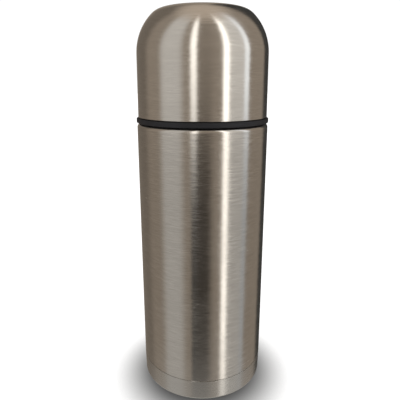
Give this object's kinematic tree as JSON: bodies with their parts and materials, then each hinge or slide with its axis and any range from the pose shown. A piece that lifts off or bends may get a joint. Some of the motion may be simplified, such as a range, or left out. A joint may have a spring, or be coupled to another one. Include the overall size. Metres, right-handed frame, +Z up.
{
  "type": "vacuum flask",
  "caption": "Brushed steel vacuum flask with a domed screw-on drinking cup, a black ring at the cup's mouth and a push-button pouring stopper.",
  "frame": {"origin": "centre of the base, on the surface the flask stands on", "axes": "+Z up along the flask's axis, -Y to the front, +X to the right and the side of the stopper's release key"},
  "size_m": [0.0684, 0.0684, 0.2008],
  "materials": {
    "brushed_steel": "satin, brushed round the body",
    "base_steel": "satin, brushed round the base",
    "cup_steel": "satin, brushed round the cup",
    "inner_steel": "electropolished",
    "spring_steel": "bright drawn wire and strip",
    "copper": "bright copper foil",
    "solder_glass": "fused glass bead",
    "getter_metal": "pressed powder",
    "black_ring": "matte moulded",
    "black_plastic": "fine spark-eroded texture",
    "grey_plastic": "fine spark-eroded texture",
    "button_plastic": "smooth matte",
    "liner_plastic": "smooth satin",
    "silicone": "translucent silicone, matte"
  },
  "bodies": {
    "flask": {"outer_shell": "brushed_steel", "base_cap": "base_steel", "inner_bottle": "inner_steel", "copper_foil": "copper", "vacuum_base": "inner_steel", "seal_plug": "solder_glass", "getter": "getter_metal", "getter_clip": "spring_steel"},
    "stopper_ring": {"stopper_seal": "silicone"},
    "stopper": {"stopper_body": "black_plastic", "stopper_cover": "grey_plastic", "valve_seat": "black_plastic", "stem_seal": "silicone", "return_spring": "spring_steel", "release_spring": "spring_steel"},
    "button": {"push_button": "button_plastic", "valve_stem": "inner_steel", "valve_disc": "black_plastic", "valve_seal": "silicone", "stem_nut": "inner_steel"},
    "release": {"release_tab": "button_plastic"},
    "cup_ring": {"cup_rim_ring": "black_ring"},
    "cup": {"cup_shell": "cup_steel", "cup_liner": "liner_plastic"}
  },
  "joints": [
    {"name": "stopper_lift", "type": "slide", "parent": "flask", "child": "stopper_ring", "axis": [0, 0, 1], "range_m": [0, 0.045]},
    {"name": "stopper_turn", "type": "hinge", "parent": "stopper_ring", "child": "stopper", "pos_m": [0, 0, 0.148], "axis": [0, 0, 1], "range_deg": [0, 450]},
    {"name": "button_press", "type": "slide", "parent": "stopper", "child": "button", "axis": [0, 0, -1], "range_m": [0, 0.004], "stiffness_N_per_m": 600, "springref_m": -0.003, "deforming": ["return_spring"]},
    {"name": "release_press", "type": "slide", "parent": "stopper", "child": "release", "axis": [-1, 0, 0], "range_m": [0, 0.0015], "stiffness_N_per_m": 800, "springref_m": -0.0015, "deforming": ["release_spring"]},
    {"name": "cup_lift", "type": "slide", "parent": "stopper_ring", "child": "cup_ring", "axis": [0, 0, 1], "range_m": [0, 0.07]},
    {"name": "cup_turn", "type": "hinge", "parent": "cup_ring", "child": "cup", "pos_m": [0, 0, 0.146], "axis": [0, 0, 1], "range_deg": [0, 450]}
  ]
}
